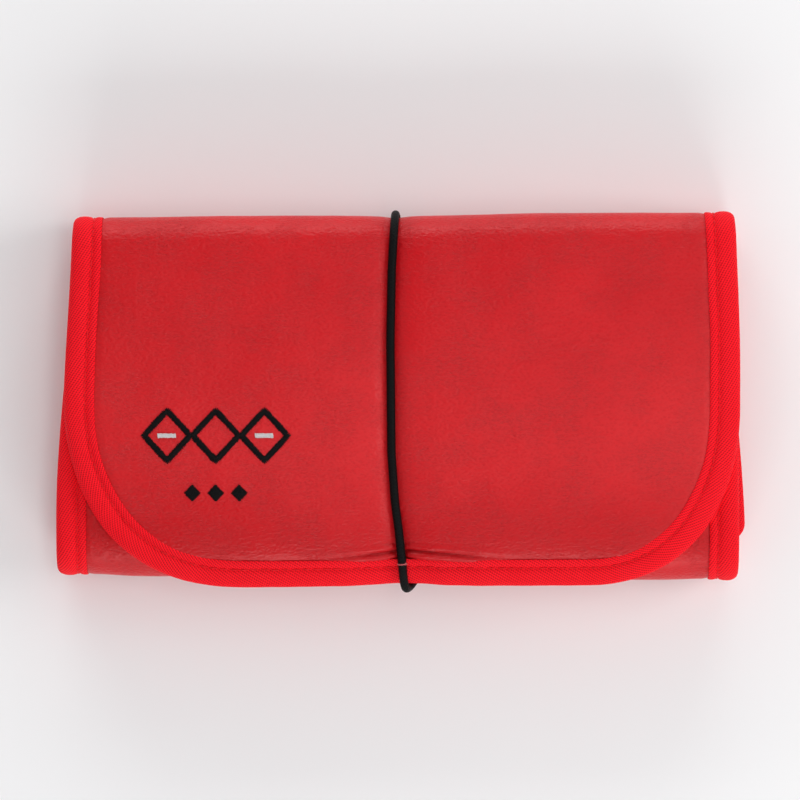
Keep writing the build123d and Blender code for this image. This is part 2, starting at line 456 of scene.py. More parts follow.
def edge_profile():
    """Section of tape folded over a padded edge, as (distance in, depth), and its sharp rows."""
    face = [
        (8.5, 0.05), (8.2, -0.15), (7.4, -0.17), (6.7, -0.06), (6.25, 0.22), (5.95, 0.34),
        (5.65, 0.22), (5.2, -0.08), (4.2, -0.30), (3.0, -0.36), (1.9, -0.22), (1.0, 0.12),
        (0.4, 0.66), (0.08, 1.35),
    ]
    under = [(8.5, 0.42), (6.0, 0.75), (3.0, 0.55), (1.6, 0.75), (0.9, 1.2), (0.6, 2.0)]
    outer = face + [(0, PANEL / 2)] + [(q, PANEL - d * 0.8) for q, d in face[::-1]]
    inner = [(q, PANEL - d) for q, d in under] + [(q, d) for q, d in under[-2::-1]]
    return np.array(outer + inner), (0, len(outer) - 1)


def hem_profile(cloth):
    """Section of tape folded over the thin mouth of a pocket."""
    face = [(7.5, 0.0), (7.2, -0.22), (6.2, -0.28), (5.6, -0.1), (5.0, -0.28), (2.5, -0.32)]
    face += [(0.8, -0.24), (0.2, 0.0)]
    outer = face + [(0, cloth / 2)] + [(q, cloth - d) for q, d in face[::-1]]
    inner = [(7.5, cloth - 0.12), (0.8, cloth - 0.12), (0.5, cloth / 2), (0.8, 0.12), (7.5, 0.12)]
    return np.array(outer + inner), (0, len(outer) - 1)


SELVEDGE_PITCH = 1.25
SELVEDGE_SCALLOP = 0.06


def tape(name, run, line, section, base=0.0, wobble=0.12):
    """Binding tape along a line on a run. Base is the depth that its section starts from."""
    profile, edges = section
    normal = inward(line)
    along = distances(line)
    count, around = len(line), len(profile)
    spot = run.along(line[:, 1])
    shift = wobble * ripple(line[:, 0] * 0.3, spot, 26, 51)
    puff = 0.06 * ripple(line[:, 0], spot, 9, 52)
    q = profile[None, :, 0] + shift[:, None] * (profile[None, :, 0] / TAPE)
    for j in edges:
        q[:, j] += SELVEDGE_SCALLOP * np.cos(along * 2 * math.pi / SELVEDGE_PITCH)
    x = line[:, None, 0] + normal[:, None, 0] * q
    s = line[:, None, 1] + normal[:, None, 1] * q
    level = base(x, s) if callable(base) else base
    depth = level + profile[None, :, 1] + puff[:, None]
    points = run.place(x, s, depth).reshape(-1, 3)
    girth = distances(profile)
    u = -run.outer * (along + run.s_start)
    if line[0, 0] > 0 and run.outer > 0:
        u = FLAP_TAPE_LENGTH + run.s_start + along[-1] - along
    uv = np.stack(np.broadcast_arrays(u[:, None], girth[None, :]), -1).reshape(-1, 2)
    faces = ring_faces(count, around)
    if run.outer < 0:
        faces = [f[::-1] for f in faces]
    sharp = []
    for k in (0, count - 1):
        sharp += [(k * around + j, k * around + (j + 1) % around) for j in range(around)]
    for j in edges:
        sharp += [(k * around + j, (k + 1) * around + j) for k in range(count - 1)]
    return mesh_piece(name, points, faces, uv, binding, sharp)


def threads(name, run, starts, ends, radius, arch, level, material, side=1):
    """Short threads on a run, each from a start to an end (x, s), arched over its middle."""
    rings, sides = 5, 6
    starts, ends = np.asarray(starts, float), np.asarray(ends, float)
    way = ends - starts
    length = np.linalg.norm(way, axis=1)[:, None]
    across = np.stack([-way[:, 1], way[:, 0]], 1) / length
    t = (1 - np.cos(np.linspace(0, math.pi, rings))) / 2
    rise = np.sqrt(np.clip(1 - (2 * t - 1) ** 2, 0, 1))
    girth = radius * (0.55 + 0.45 * rise)
    turn = np.linspace(0, 2 * math.pi, sides, endpoint=False)
    middle = starts[:, None, :] + way[:, None, :] * t[None, :, None]
    wide = girth[None, :, None] * np.cos(turn)[None, None, :]
    up = girth[None, :, None] * np.sin(turn)[None, None, :] + arch * rise[None, :, None]
    x = middle[:, :, None, 0] + across[:, None, None, 0] * wide
    s = middle[:, :, None, 1] + across[:, None, None, 1] * wide
    depth = level(x, s) if callable(level) else level
    points = run.place(x, s, depth - side * up).reshape(-1, 3)
    faces = [f for n in range(len(starts)) for f in ring_faces(rings, sides, n * rings * sides)]
    if run.outer * side > 0:
        faces = [f[::-1] for f in faces]
    u = (t[None, :, None] * length[:, None]) + 0 * wide
    v = 0 * u + turn[None, None, :] * radius + np.arange(len(starts))[:, None, None] * 3.7
    uv = np.stack([u, v], -1).reshape(-1, 2)
    return mesh_piece(name, points, faces, uv, material)


STITCH_PITCH = 2.9
STITCH = 2.3
STITCH_THREAD = 0.2
STITCH_ARCH = 0.16


def stitches(name, run, line, inset, level, side, seed):
    """Topstitching along a line on a run, at a distance in from it."""
    fine = 0.1
    draw = np.random.default_rng(seed)
    seam = spaced(line + inward(line) * inset, fine)
    total = (len(seam) - 1) * fine
    at = np.arange(STITCH_PITCH * 0.3, total - STITCH, STITCH_PITCH)
    wander = draw.normal(0, 0.05, (len(at), 2))
    first = seam[np.round(at / fine).astype(int)] + wander
    last = seam[np.round((at + STITCH) / fine).astype(int)] + wander
    return threads(name, run, first, last, STITCH_THREAD, STITCH_ARCH, level, red_thread, side)


def round_tube(name, points, radius, material, sides=14, closed=False, start_up=(1, 0, 0)):
    """Round tube along points in millimetres, closed on itself or with rounded ends."""
    points = np.asarray(points, float)
    count = len(points)
    if closed:
        ahead = np.roll(points, -1, 0) - np.roll(points, 1, 0)
    else:
        ahead = np.gradient(points, axis=0)
    ahead /= np.linalg.norm(ahead, axis=1)[:, None]
    up = np.zeros_like(points)
    last = np.array(start_up, float)
    for k in range(count):
        last = last - ahead[k] * last.dot(ahead[k])
        last /= np.linalg.norm(last)
        up[k] = last
    side = np.cross(ahead, up)
    if closed:
        twist = math.atan2(side[0].dot(up[-1]), up[0].dot(up[-1]))
        turn_back = -twist * np.arange(count) / count
        up, side = (
            up * np.cos(turn_back)[:, None] + side * np.sin(turn_back)[:, None],
            side * np.cos(turn_back)[:, None] - up * np.sin(turn_back)[:, None],
        )
    angle = np.linspace(0, 2 * math.pi, sides, endpoint=False)
    girth = np.full(count, float(radius))
    if not closed:
        girth[[0, -1]] *= 0.5
    ring = np.cos(angle)[None, :, None] * up[:, None] + np.sin(angle)[None, :, None] * side[:, None]
    placed = points[:, None] + ring * girth[:, None, None]
    faces = ring_faces(count, sides, closed=closed)
    uv = np.stack(np.broadcast_arrays(distances(points)[:, None], (angle * radius)[None, :]), -1)
    return mesh_piece(name, placed.reshape(-1, 3), faces, uv.reshape(-1, 2), material)


# ---- materials
class Graph:
    """Short names for the nodes that the materials share."""

    def __init__(self, name):
        self.material = bpy.data.materials.new(name)
        self.material.use_nodes = True
        self.nodes = self.material.node_tree.nodes
        self.links = self.material.node_tree.links
        self.shader = self.nodes["Principled BSDF"]

    def node(self, kind, inputs=None, **settings):
        made = self.nodes.new(kind)
        for key, value in settings.items():
            setattr(made, key, value)
        for key, value in (inputs or {}).items():
            socket = made.inputs[key]
            if isinstance(value, bpy.types.NodeSocket):
                self.links.new(value, socket)
            else:
                socket.default_value = value
        return made

    def flat(self, scale=(1, 1, 1), turn=0.0, shift=(0, 0, 0)):
        """Coordinates on the flat piece, in millimetres, then scaled and turned."""
        uv = self.node("ShaderNodeUVMap", uv_map="flat").outputs[0]
        big = self.node("ShaderNodeVectorMath", {0: uv, 1: [1 / MM] * 3}, operation="MULTIPLY")
        inputs = {"Vector": big.outputs[0], "Scale": scale, "Rotation": (0, 0, turn)}
        return self.node("ShaderNodeMapping", {**inputs, "Location": shift}).outputs[0]

    def noise(self, vector, scale, detail=3, rough=0.55):
        inputs = {"Vector": vector, "Scale": scale, "Detail": detail, "Roughness": rough}
        return self.node("ShaderNodeTexNoise", inputs).outputs["Fac"]

    def cells(self, vector, scale, feature="F1"):
        inputs = {"Vector": vector, "Scale": scale}
        return self.node("ShaderNodeTexVoronoi", inputs, feature=feature).outputs["Distance"]

    def wave(self, vector, scale, distort=0.0, direction="X", detail=1.0):
        inputs = {"Vector": vector, "Scale": scale, "Distortion": distort, "Detail": detail}
        made = self.node("ShaderNodeTexWave", inputs, bands_direction=direction)
        return made.outputs["Fac"]

    def math(self, kind, a, b=0.0, clamp=False):
        return self.node("ShaderNodeMath", {0: a, 1: b}, operation=kind, use_clamp=clamp).outputs[0]

    def span(self, value, low, high, to_low=0.0, to_high=1.0):
        inputs = {"Value": value, "From Min": low, "From Max": high}
        inputs |= {"To Min": to_low, "To Max": to_high}
        return self.node("ShaderNodeMapRange", inputs).outputs[0]

    def blend(self, factor, first, second):
        made = self.node("ShaderNodeMix", data_type="RGBA")
        for index, value in ((0, factor), (6, first), (7, second)):
            if isinstance(value, bpy.types.NodeSocket):
                self.links.new(value, made.inputs[index])
            else:
                made.inputs[index].default_value = value
        return made.outputs[2]

    def bump(self, height, strength, distance, normal=None):
        inputs = {"Height": height, "Strength": strength, "Distance": distance}
        if normal is not None:
            inputs["Normal"] = normal
        return self.node("ShaderNodeBump", inputs).outputs[0]

    def finish(self, color, roughness, normal, specular=0.5, sheen=0.0, tint=(1, 1, 1, 1)):
        for key, value in (("Base Color", color), ("Roughness", roughness), ("Normal", normal)):
            self.links.new(value, self.shader.inputs[key])
        self.shader.inputs["Specular IOR Level"].default_value = specular
        self.shader.inputs["Sheen Weight"].default_value = sheen
        self.shader.inputs["Sheen Tint"].default_value = tint
        self.shader.inputs["Sheen Roughness"].default_value = 0.4
        return self.material


def leather_material():
    """Red leather: pebbled, with fine drawn creases; a paler band over the flap's crest is a painted
    highlight, and the hem, the grain's pits and the creases are painted darker as painted shade.
    """
    g = Graph("red_leather")
    base = g.flat()
    wide = g.noise(base, 0.022, 2)
    patch = g.noise(g.flat(shift=(31, 7, 0)), 0.07, 3)
    pebble = g.cells(g.flat(scale=(0.85, 1.35, 1)), 1.25, "SMOOTH_F1")
    fine = g.cells(g.flat(scale=(1.0, 1.2, 1), shift=(3, 9, 0)), 2.6)
    drawn = g.noise(g.flat(scale=(0.45, 1.9, 1)), 0.85, 4, 0.6)
    line = g.span(g.math("ABSOLUTE", g.math("SUBTRACT", drawn, 0.5)), 0.0, 0.035)
    worn = g.span(patch, 0.44, 0.66)
    line = g.math("MAXIMUM", line, g.math("SUBTRACT", 1.0, worn), clamp=True)
    dust = g.noise(base, 5.0, 3)
    color = g.blend(g.span(wide, 0.3, 0.7), (0.54, 0.0035, 0.0080, 1), (0.61, 0.0055, 0.0100, 1))
    down = g.node("ShaderNodeSeparateXYZ", {0: base}).outputs["Y"]
    down = g.math("ADD", down, g.span(wide, 0.2, 0.8, -14.0, 14.0))
    # Painted highlight: a paler band along the strip over the flap's crest, where it faces the light.
    painted_crest_highlight = g.math("MULTIPLY", g.span(down, 34.0, 72.0), g.span(down, 84.0, 104.0, 1.0, 0.0))
    color = g.blend(painted_crest_highlight, color, (0.63, 0.0120, 0.0165, 1))
    # Painted shade: the leather is painted darker towards the flap's hem, which curls away from the
    # light.
    color = g.blend(g.span(down, 92.0, 114.0), color, (0.53, 0.0030, 0.0070, 1))
    color = g.blend(g.span(patch, 0.4, 0.75, 0, 0.15), color, (0.46, 0.005, 0.009, 1))
    # Painted shade: the grain's pits and the drawn creases are painted darker.
    color = g.blend(g.span(pebble, 0.05, 0.5, 0.22, 0), color, (0.34, 0.003, 0.006, 1))
    color = g.blend(g.span(line, 0.0, 1.0, 0.35, 0), color, (0.26, 0.002, 0.004, 1))
    rough = g.math("ADD", g.span(wide, 0.3, 0.7, 0.35, 0.40), g.span(dust, 0.2, 0.8, -0.04, 0.05))
    rough = g.math("ADD", rough, g.span(pebble, 0.0, 0.5, 0.06, -0.03))
    normal = g.bump(line, 0.35, 0.0003)
    normal = g.bump(drawn, 0.2, 0.0006, normal)
    normal = g.bump(pebble, 0.55, 0.0003, normal)
    normal = g.bump(fine, 0.35, 0.00014, normal)
    return g.finish(color, rough, normal, specular=0.27)


def tape_material():
    """Red twill tape: slanted ribs, crossing yarns and fuzz, with painted highlights on the rib tops
    and the fuzz and painted shade in the grooves.
    """
    g = Graph("red_twill_tape")
    ribs = g.wave(g.flat(turn=math.radians(58)), 0.43, 0.8, detail=1.5)
    yarn = g.wave(g.flat(turn=math.radians(-14)), 0.50, 1.2, detail=1.5)
    fuzz = g.noise(g.flat(), 4.0, 4, 0.7)
    wide = g.noise(g.flat(), 0.05, 2)
    height = g.math("ADD", g.math("MULTIPLY", ribs, 0.6), g.math("MULTIPLY", yarn, 0.4))
    # Painted shade and highlight: the rib grooves are painted dark red and the rib tops bright red.
    color = g.blend(g.span(height, 0.08, 0.6), (0.36, 0.0001, 0.0012, 1), (1.0, 0.004, 0.014, 1))
    # Painted highlight: the fuzz is painted as paler, pinkish flecks.
    color = g.blend(g.span(fuzz, 0.40, 0.8, 0, 0.5), color, (1.0, 0.036, 0.055, 1))
    color = g.blend(g.span(wide, 0.35, 0.65, 0, 0.2), color, (0.84, 0.002, 0.009, 1))
    rough = g.math("ADD", g.span(height, 0, 1, 0.75, 0.6), g.span(fuzz, 0, 1, -0.05, 0.08))
    normal = g.bump(height, 0.7, 0.00022)
    normal = g.bump(fuzz, 0.35, 0.0001, normal)
    return g.finish(color, rough, normal, specular=0.10, sheen=0.04, tint=(1, 0.1, 0.1, 1))


def weave_material(name, dark, light, pitch):
    """Plain weave with slubs."""
    g = Graph(name)
    warp = g.wave(g.flat(), pitch, 0.5)
    weft = g.wave(g.flat(), pitch, 0.5, "Y")
    over = g.wave(g.flat(turn=math.radians(45)), pitch * 0.7071, 0.3)
    slub = g.noise(g.flat(scale=(0.3, 2.5, 1)), 1.1, 4, 0.6)
    wide = g.noise(g.flat(), 0.04, 3)
    height = g.blend(g.span(over, 0.45, 0.55), warp, weft)
    color = g.blend(g.span(height, 0.1, 0.8), dark, light)
    bright = [min(1, v * 1.35) for v in light[:3]] + [1]
    color = g.blend(g.span(slub, 0.35, 0.8, 0, 0.4), color, bright)
    color = g.blend(g.span(wide, 0.3, 0.7, 0, 0.3), color, dark)
    rough = g.math("ADD", g.span(slub, 0.2, 0.8, 0.78, 0.66), g.span(wide, 0, 1, 0.0, 0.08))
    normal = g.bump(height, 0.5, 0.00018)
    normal = g.bump(slub, 0.3, 0.0002, normal)
    return g.finish(color, rough, normal, specular=0.25, sheen=0.25, tint=(1, 0.5, 0.5, 1))


def thread_material(name, dark, light, gloss, shine=0.3):
    """Twisted sewing or satin thread."""
    g = Graph(name)
    twist = g.wave(g.flat(turn=math.radians(35)), 1.6, 0.8)
    strand = g.noise(g.flat(scale=(0.5, 3, 1)), 2.0, 3)
    color = g.blend(g.math("MULTIPLY", twist, g.span(strand, 0.2, 0.8)), dark, light)
    rough = g.span(strand, 0.2, 0.8, gloss - 0.08, gloss + 0.1)
    normal = g.bump(twist, 0.5, 0.0001)
    return g.finish(color, rough, normal, specular=shine)


def cord_material():
    """Black braided cover of the elastic."""
    g = Graph("black_braided_elastic")
    first = g.wave(g.flat(turn=math.radians(38)), 0.42, 0.4)
    second = g.wave(g.flat(turn=math.radians(-38)), 0.42, 0.4)
    fuzz = g.noise(g.flat(), 5.0, 4, 0.7)
    braid = g.math("MAXIMUM", first, second)
    color = g.blend(g.span(braid, 0.3, 1.0), (0.0008, 0.0007, 0.0008, 1), (0.0035, 0.0032, 0.0034, 1))
    color = g.blend(g.span(fuzz, 0.5, 0.9, 0, 0.4), color, (0.016, 0.015, 0.015, 1))
    rough = g.span(fuzz, 0.2, 0.8, 0.42, 0.62)
    normal = g.bump(braid, 0.6, 0.0002)
    normal = g.bump(fuzz, 0.3, 0.0001, normal)
    return g.finish(color, rough, normal, specular=0.10)


def foam_material():
    """Open-celled padding foam."""
    g = Graph("padding_foam")
    pores = g.cells(g.flat(), 1.6)
    small = g.cells(g.flat(shift=(5, 2, 0)), 3.5)
    tone = g.noise(g.flat(), 0.2, 3)
    color = g.blend(g.span(pores, 0.1, 0.6), (0.42, 0.37, 0.28, 1), (0.72, 0.67, 0.56, 1))
    color = g.blend(g.span(tone, 0.3, 0.7, 0, 0.3), color, (0.6, 0.52, 0.38, 1))
    rough = g.span(pores, 0, 0.6, 0.95, 0.8)
    normal = g.bump(pores, 0.7, 0.0004)
    normal = g.bump(small, 0.4, 0.0002, normal)
    return g.finish(color, rough, normal, specular=0.2)


def floor_material():
    """Plain pale floor."""
    g = Graph("pale_floor")
    place = g.node("ShaderNodeTexCoord").outputs["Object"]
    tone = g.noise(place, 3.0, 3)
    color = g.blend(tone, (0.88, 0.88, 0.88, 1), (0.9, 0.9, 0.9, 1))
    rough = g.span(tone, 0, 1, 0.85, 0.95)
    normal = g.bump(tone, 0.02, 0.001)
    return g.finish(color, rough, normal, specular=0.1)


leather = leather_material()
binding = tape_material()
lining = weave_material("red_lining_weave", (0.16, 0.004, 0.007, 1), (0.36, 0.012, 0.018, 1), 0.55)
pocket_cloth = weave_material("pocket_weave", (0.20, 0.005, 0.009, 1), (0.44, 0.016, 0.022, 1), 0.45)
red_thread = thread_material("red_thread", (0.70, 0.001, 0.006, 1), (1.0, 0.008, 0.020, 1), 0.55)
pink_thread = thread_material("tack_thread", (0.40, 0.05, 0.06, 1), (0.70, 0.22, 0.21, 1), 0.5)
black_thread = thread_material(
    "black_satin_thread", (0.0006, 0.0005, 0.0006, 1), (0.006, 0.005, 0.006, 1), 0.45, 0.12
)
white_thread = thread_material("white_satin_thread", (0.55, 0.50, 0.50, 1), (0.95, 0.92, 0.91, 1), 0.4)
elastic = cord_material()
foam = foam_material()
floor = floor_material()


# ---- relief of the leather
FOLD_VALLEY = 0.35
FLAP_VALLEY = 1.25
BACK_VALLEY = 2.3
VALLEY_WIDTH = 3.1
PUFF = 1.1


def sewn_edge(inside):
    """Depth of the leather by its distance in from the bound edge: pinched by the seam."""
    return 0.55 * (1 - smooth((inside - (TAPE - 1.5)) / 3.5))


def inside_distance(run, x, s):
    """Distance in from the bound edges of a run, near enough for the relief."""
    left, right = run.edges(s)
    side = np.minimum(x - left, right - x)
    if run in (runs[name] for name in ROUNDED):
        ahead = run.edges(np.clip(s + 1.0, 0, run.length))
        behind = run.edges(np.clip(s - 1.0, 0, run.length))
        slant = [np.sqrt(1 + ((a - b) / 2) ** 2) for a, b in zip(ahead, behind)]
        side = np.minimum((x - left) / slant[0], (right - x) / slant[1])
        side = np.minimum(side, run.length - s)
    return side


def valley(x, middle, deep):
    """Groove that the elastic presses into the padding."""
    return deep * np.exp(-np.abs((x - middle) / VALLEY_WIDTH) ** 1.8)


class Puff:
    """Height of the flap's leather over its sewn outline, from a cloth simulation."""

    STEP = 2.5
    FRAMES = 24
    UNIT = 0.01

    def __init__(self):
        run = runs["flap"]
        self.x = np.arange(-HALF - 1, HALF + 1 + self.STEP, self.STEP)
        self.s = np.arange(0, run.length + self.STEP, self.STEP)
        x, s = np.meshgrid(self.x, np.minimum(self.s, run.length))
        inside = inside_distance(run, x, s)
        near = np.abs(x - cord_x(s))
        held = (inside < TAPE) | (near < 1.7)
        rise = self.blown(x, s, held, 0.3 * ripple(x, s, 18, 61))
        rise = np.clip(rise, 0, None)
        self.height = np.clip(rise / np.percentile(rise[~held], 92), 0, 1.35)

    def blown(self, x, s, held, ruffle):
        rows, columns = x.shape
        points = np.stack([x, s, np.where(held, 0, ruffle)], -1).reshape(-1, 3) * self.UNIT
        mesh = bpy.data.meshes.new("sewn_cover")
        mesh.from_pydata(points.tolist(), [], grid_faces(rows, columns))
        cover = bpy.data.objects.new("sewn_cover", mesh)
        bpy.context.collection.objects.link(cover)
        pins = cover.vertex_groups.new(name="seams")
        pins.add(np.nonzero(held.ravel())[0].tolist(), 1.0, "REPLACE")
        cloth = cover.modifiers.new("cloth", "CLOTH")
        for key, value in (
            ("vertex_group_mass", "seams"), ("quality", 6), ("mass", 0.3), ("air_damping", 6),
            ("tension_stiffness", 20), ("compression_stiffness", 20), ("shear_stiffness", 12),
            ("bending_stiffness", 0.6), ("shrink_min", -0.012), ("use_pressure", True),
            ("uniform_pressure_force", 4.0),
        ):
            setattr(cloth.settings, key, value)
        cloth.settings.effector_weights.gravity = 0
        cloth.collision_settings.use_collision = False
        scene = bpy.context.scene
        cloth.point_cache.frame_start = 1
        cloth.point_cache.frame_end = self.FRAMES
        for number in range(1, self.FRAMES + 1):
            scene.frame_set(number)
        shaped = cover.evaluated_get(bpy.context.evaluated_depsgraph_get()).to_mesh()
        co = np.zeros(len(shaped.vertices) * 3)
        shaped.vertices.foreach_get("co", co)
        bpy.data.objects.remove(cover)
        scene.frame_set(1)
        height = np.abs(co.reshape(-1, 3)[:, 2]).reshape(rows, columns) / self.UNIT
        return np.where(held, 0, height)

    def at(self, x, s):
        """Height between the grid's points, by smooth interpolation."""
        u = np.clip((x - self.x[0]) / self.STEP, 0, len(self.x) - 1.001)
        v = np.clip((s - self.s[0]) / self.STEP, 0, len(self.s) - 1.001)
        i, j = u.astype(int), v.astype(int)
        total = 0
        for di in (-1, 0, 1, 2):
            for dj in (-1, 0, 1, 2):
                a = np.clip(i + di, 0, len(self.x) - 1)
                b = np.clip(j + dj, 0, len(self.s) - 1)
                total = total + self.height[b, a] * spline(u - i - di) * spline(v - j - dj)
        return total


def spline(t):
    """Cubic B-spline weight at a distance in grid steps."""
    t = np.abs(t)
    near = (4 - 6 * t**2 + 3 * t**3) / 6
    far = (2 - np.minimum(t, 2)) ** 3 / 6
    return np.where(t < 1, near, far)


puff = Puff()
flap_line = outline(runs["flap"], True)[0]
FLAP_TAPE_LENGTH = distances(flap_line)[-1]


def flap_top(x, s):
    """Depth of the flap's leather face."""
    run = runs["flap"]
    inside = inside_distance(run, x, s)
    near = x - cord_x(s)
    soft = smooth((inside - TAPE) / 16)
    over = smooth((s - 3) / 18)
    deep = FOLD_VALLEY + FLAP_VALLEY * smooth((s - 4) / 30)
    depth = sewn_edge(inside) + valley(x, cord_x(s), deep)
    depth = depth - PUFF * puff.at(x, s) * over
    depth = depth - (0.14 * ripple(x, s, 34, 11) + 0.05 * ripple(x, s, 11, 12)) * soft * over
    lip = inside - TAPE
    gathered = np.exp(-np.abs((near - 4) / 20) ** 3) * smooth((s - 88) / 12)
    line = 2.5 - 0.075 * np.abs(near - 3)
    rise = 1.1 * bump_at(lip, line - 1.3, 1.1) + 0.6 * bump_at(lip, line + 1.2, 0.8)
    fold = 1.3 * bump_at(lip, line, 0.5)
    fold = fold + 0.4 * bump_at(lip, line + 2.2, 0.5) * bump_at(near, 1, 11)
    apart = np.where(np.abs(near) < 1.2, 0.2, 1)
    return depth + (fold - rise) * gathered * apart


def back_top(x, s):
    run = runs["back"]
    depth = sewn_edge(inside_distance(run, x, s))
    flat = smooth(s / 22) * (1 - smooth((s - BACK_LENGTH + 24) / 22))
    deep = FOLD_VALLEY + (BACK_VALLEY - FOLD_VALLEY) * flat
    return depth + valley(x, back_cord_x(s), deep) + 0.08 * (1 + ripple(x, s, 40, 21)) * flat


def front_top(x, s):
    run = runs["front"]
    inside = inside_distance(run, x, s)
    groove = valley(x, back_cord_x(BACK_LENGTH), FOLD_VALLEY) * (1 - smooth(s / 14))
    depth = sewn_edge(inside) + groove
    bare = (1 - smooth((s - 8) / 22)) * smooth(s / 8)
    return depth - 0.5 * bare * smooth((inside - TAPE) / 14) - 0.12 * bare * ripple(x, s, 20, 31)


def inner_top(x, s):
    return sewn_edge(inside_distance(runs["inner"], x, s)) + 0 * x


def back_tape_depth(x, s):
    """The back's tape lies flat on the ground, and meets the folds' tape at its ends."""
    return 0.45 * smooth(s / 14) * (1 - smooth((s - BACK_LENGTH + 14) / 14)) + 0 * x


def back_groove(x, s):
    """Depth of the stitches in the back's tape."""
    return back_tape_depth(x, s) + TAPE_GROOVE


def deepest(top, run, x, s, reach=1.1):
    """Deepest point of a leather face within a small distance, so that no crease is cut."""
    around = [
        top(x + dx, np.clip(s + ds, 0, run.length))
        for dx in (-reach, 0, reach) for ds in (-reach, -reach / 2, 0, reach / 2, reach)
    ]
    return np.max(around, axis=0)


tops = {"flap": flap_top, "back": back_top, "front": front_top, "inner": inner_top}
strip_nodes = {
    "flap": ("flap",),
    "back": ("back", "top_fold"),
    "front": ("front", "bottom_fold"),
    "inner": ("inner", "inner_fold"),
}
SEAM = 5.95
TAPE_GROOVE = 0.3
UNDER_GROOVE = 0.26
LINING_FACE = FOAM_LOW + 0.1
FINENESS = {"flap": 0.7, "back": 1.0, "front": 0.8, "inner": 1.2}

# ---- leather, foam, lining, tape
for name, run in runs.items():
    parts = strip_nodes[name]
    end = None if name in ROUNDED else 0.0
    x, s = strip_grid(run, TUCK, FINENESS[name], end)
    upper = tops[name](x, s)
    skin = slab(f"{name}_skin", run, x, s, upper, upper + LEATHER, leather)
    settle(skin, name, "leather", *[f"{p}_leather" for p in parts])
    x, s = strip_grid(run, TUCK + 0.4, 2.0, end)
    upper = np.minimum(deepest(tops[name], run, x, s) + LEATHER + 0.05, FOAM_LOW - 0.1)
    pad = slab(f"{name}_pad", run, x, s, upper, 0 * x + FOAM_LOW, foam)
    settle(pad, name, "foam", *[f"{p}_foam" for p in parts])
    x, s = strip_grid(run, TUCK, 1.2, end)
    face = LINING_FACE + 0.08 * ripple(x, run.along(s), 24, 41)
    cloth = slab(f"{name}_lining_cloth", run, x, s, face, face + LINING, lining)
    settle(cloth, name, "lining", *[f"{p}_lining" for p in parts])
    base = back_tape_depth if name == "back" else 0.0
    lines = outline(run, name in ROUNDED)
    sides = ("left", "right") if len(lines) == 2 else ("",)
    for line, side in zip(lines, sides):
        label = f"{name}_tape_{side}" if side else f"{name}_tape"
        piece = tape(label, run, line, edge_profile(), base)
        ends = [side] if side else ["left", "right"]
        nodes = [f"{parts[0]}_binding_{side}" if side else f"{parts[0]}_binding"]
        nodes += [f"{p}_binding_{end_side}" for p in parts[1:] for end_side in ends]
        settle(piece, name, "tape", *nodes)
        groove = back_groove if name == "back" else TAPE_GROOVE
        seam = stitches(f"{label}_stitches", run, line, SEAM, groove, 1, seed=7)
        settle(seam, name, "tape")
        under = PANEL - UNDER_GROOVE
        seam = stitches(f"{label}_inner_stitches", run, line, SEAM, under, -1, seed=8)
        settle(seam, name, "tape")


# ---- pockets
CLOTH = 0.8
POCKET_RISE = 4.2
POCKET_HALF = 85.0
POCKET_GRID = 1.5
POCKET_GAP = 0.12
SIDE_SEAM = 1.6
MOUTH_SEAM = 5.6


def pocket(name, key, closed, mouth, middle, on):
    """Patch pocket on the lining: sewn on three sides, with a taped mouth."""
    run = runs[key]
    length = abs(mouth - closed)
    rows, columns = int(length / POCKET_GRID), int(2 * POCKET_HALF / POCKET_GRID)
    t = np.linspace(0, 1, rows)[:, None]
    across = np.linspace(-1, 1, columns)[None, :]
    s = closed + (mouth - closed) * t + 0 * across

    def height(x, s):
        gone = np.abs(s - closed)
        side = POCKET_HALF - np.abs(x - middle)
        rise = smooth((gone - 3) / 11) * smooth((side - 3) / 13)
        slack = 1 - 0.25 * smooth((gone - length + 26) / 26)
        loose = 0.3 * ripple(x, s, 30, 71 + len(name)) * rise
        return rise * POCKET_RISE * slack + loose

    def level(x, s):
        return PANEL + POCKET_GAP + height(x, s)

    x = middle + across * POCKET_HALF + 0 * t
    top = level(x, s)
    cloth = slab(f"{name}_cloth", run, x, s, top, top + CLOTH, pocket_cloth)
    settle(cloth, on, "pocket_cloth", name)
    edge_x = np.linspace(middle - POCKET_HALF, middle + POCKET_HALF, 300)
    line = np.stack([edge_x, np.full(300, float(mouth))], 1)
    if closed > mouth:
        line = line[::-1]
    hem = tape(f"{name}_mouth_tape", run, line, hem_profile(CLOTH), level, 0.1)
    settle(hem, on, "tape", f"{name}_hem")
    over = CLOTH + 0.1
    seam = stitches(
        f"{name}_mouth_stitches", run, line, MOUTH_SEAM, lambda x, s: level(x, s) + over, -1, seed=9
    )
    settle(seam, on, "tape")
    left, right = middle - POCKET_HALF + SIDE_SEAM, middle + POCKET_HALF - SIDE_SEAM
    foot = closed + SIDE_SEAM * np.sign(mouth - closed)
    track = spaced(np.array([(left, mouth), (left, foot), (right, foot), (right, mouth)]), 0.5)
    sunk = CLOTH - 0.05
    seam = stitches(
        f"{name}_side_stitches", run, track, 0.0, lambda x, s: level(x, s) + sunk, -1, seed=10
    )
    settle(seam, on, "pocket_cloth")


def position(run, y):
    """Distance along a run at which its centreline passes y on its long flat stretch."""
    flat = np.abs(np.cos(run.angle)) > 0.999
    order = np.argsort(run.line[flat, 0])
    return float(np.interp(y, run.line[flat, 0][order], run.s[flat][order]))


def pocket_ends(name, closed_high):
    """Where the CAD pocket is closed and where it opens, along y, with its hem."""
    low, high = node_box(name)
    hem_low, hem_high = node_box(f"{name}_hem")
    bottom, top = min(low[1], hem_low[1]), max(high[1], hem_high[1])
    return (top, bottom) if closed_high else (bottom, top)


